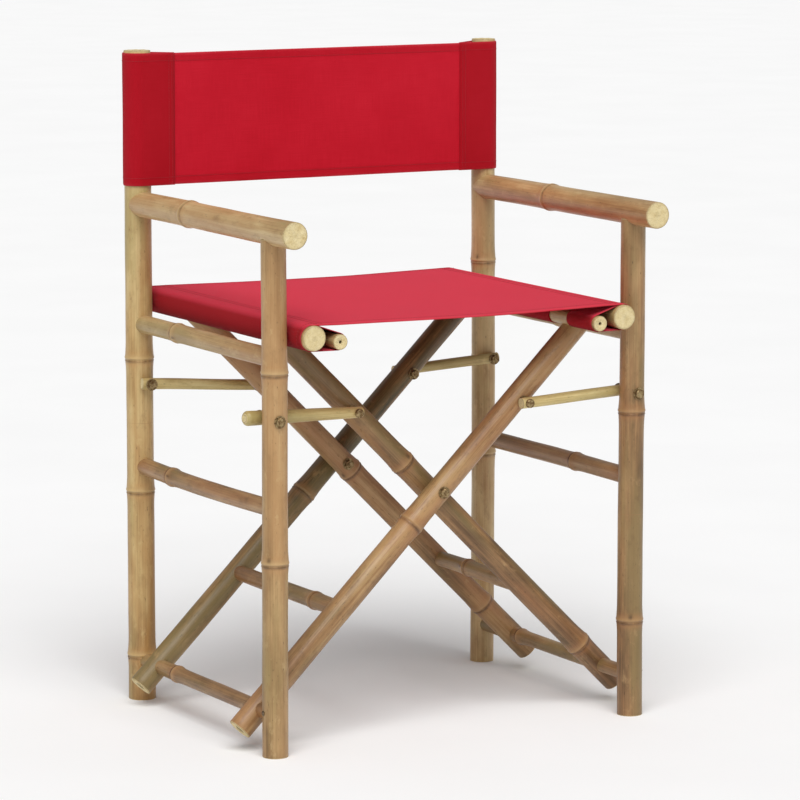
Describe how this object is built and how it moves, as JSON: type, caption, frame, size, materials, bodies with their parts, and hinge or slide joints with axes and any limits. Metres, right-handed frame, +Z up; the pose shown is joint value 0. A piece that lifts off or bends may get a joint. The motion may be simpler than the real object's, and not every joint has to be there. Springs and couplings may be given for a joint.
{
  "type": "folding director chair",
  "caption": "Folding director chair of bamboo poles: two side frames, crossed legs that scissor on bolts, slung canvas seat and slip-on canvas back.",
  "frame": {"origin": "on the floor, under the centre of the chair's bounding box", "axes": "+Z up; the sitter faces -Y; +X is to the right of someone who looks at the chair from the front"},
  "size_m": [0.605, 0.504, 0.88],
  "materials": {
    "bamboo_tan": "clear-lacquered bamboo, satin",
    "bamboo_brown": "browner lacquered bamboo, satin",
    "bamboo_pale": "pale bamboo, satin",
    "canvas": "red woven canvas, matt",
    "zinc_bolts": "dull zinc",
    "steel_fasteners": "dull steel"
  },
  "bodies": {
    "left_frame": {"left_rear_post": "bamboo_tan", "left_front_post": "bamboo_tan", "left_armrest": "bamboo_tan", "left_upper_rail": "bamboo_tan", "left_lower_rail": "bamboo_tan", "left_bottom_rod": "bamboo_tan", "left_armrest_screws": "steel_fasteners", "left_rod_nails": "steel_fasteners", "left_stay_bolts": "zinc_bolts", "left_stay_nuts": "zinc_bolts", "back_canvas": "canvas"},
    "legs_a": {"leg_a_front": "bamboo_brown", "leg_a_rear": "bamboo_brown", "leg_a_stretcher": "bamboo_brown", "leg_a_screws": "steel_fasteners", "leg_a_stay_studs": "zinc_bolts", "leg_a_stay_nuts": "zinc_bolts", "seat_pole_right": "bamboo_tan", "seat_rod_right": "bamboo_tan", "crossing_bolts": "zinc_bolts", "crossing_washers": "zinc_bolts", "crossing_nuts": "zinc_bolts"},
    "legs_b": {"leg_b_front": "bamboo_brown", "leg_b_rear": "bamboo_brown", "leg_b_stretcher": "bamboo_brown", "leg_b_screws": "steel_fasteners", "leg_b_stay_studs": "zinc_bolts", "leg_b_stay_nuts": "zinc_bolts", "seat_pole_left": "bamboo_tan", "seat_rod_left": "bamboo_tan", "seat_canvas": "canvas"},
    "right_frame": {"right_rear_post": "bamboo_tan", "right_front_post": "bamboo_tan", "right_armrest": "bamboo_tan", "right_upper_rail": "bamboo_tan", "right_lower_rail": "bamboo_tan", "right_bottom_rod": "bamboo_tan", "right_armrest_screws": "steel_fasteners", "right_rod_nails": "steel_fasteners", "right_stay_bolts": "zinc_bolts", "right_stay_nuts": "zinc_bolts"},
    "stay_front_left": {"stay_front_left": "bamboo_pale", "stay_front_left_bolt_head": "zinc_bolts"},
    "stay_front_right": {"stay_front_right": "bamboo_pale", "stay_front_right_bolt_head": "zinc_bolts"},
    "stay_rear_left": {"stay_rear_left": "bamboo_pale", "stay_rear_left_bolt_head": "zinc_bolts"},
    "stay_rear_right": {"stay_rear_right": "bamboo_pale", "stay_rear_right_bolt_head": "zinc_bolts"}
  },
  "joints": [
    {"name": "fold", "type": "hinge", "parent": "left_frame", "child": "legs_a", "pos_m": [-0.265, 0, 0.054], "axis": [0, -1, 0], "range_deg": [0, 17], "deforming": ["seat_canvas", "back_canvas"]},
    {"name": "crossing", "type": "hinge", "parent": "legs_a", "child": "legs_b", "pos_m": [0, 0, 0.316], "axis": [0, 1, 0], "range_deg": [0, 41]},
    {"name": "right_rod", "type": "hinge", "parent": "legs_b", "child": "right_frame", "pos_m": [0.265, 0, 0.054], "axis": [0, -1, 0], "range_deg": [0, 17.5]},
    {"name": "stay_front_left", "type": "hinge", "parent": "left_frame", "child": "stay_front_left", "pos_m": [-0.265, -0.165, 0.435], "axis": [0, -1, 0], "range_deg": [0, 45]},
    {"name": "stay_rear_left", "type": "hinge", "parent": "left_frame", "child": "stay_rear_left", "pos_m": [-0.265, 0.18, 0.435], "axis": [0, -1, 0], "range_deg": [0, 45]},
    {"name": "stay_front_right", "type": "hinge", "parent": "right_frame", "child": "stay_front_right", "pos_m": [0.265, -0.165, 0.435], "axis": [0, 1, 0], "range_deg": [0, 45]},
    {"name": "stay_rear_right", "type": "hinge", "parent": "right_frame", "child": "stay_rear_right", "pos_m": [0.265, 0.18, 0.435], "axis": [0, 1, 0], "range_deg": [0, 45]}
  ],
  "couplings": [
    {"joint": "crossing", "follows": "fold", "ratio": 2.3379},
    {"joint": "right_rod", "follows": "fold", "ratio": 1},
    {"joint": "stay_front_left", "follows": "fold", "ratio": 2.5843},
    {"joint": "stay_rear_left", "follows": "fold", "ratio": 2.5843},
    {"joint": "stay_front_right", "follows": "fold", "ratio": 2.5843},
    {"joint": "stay_rear_right", "follows": "fold", "ratio": 2.5843}
  ]
}
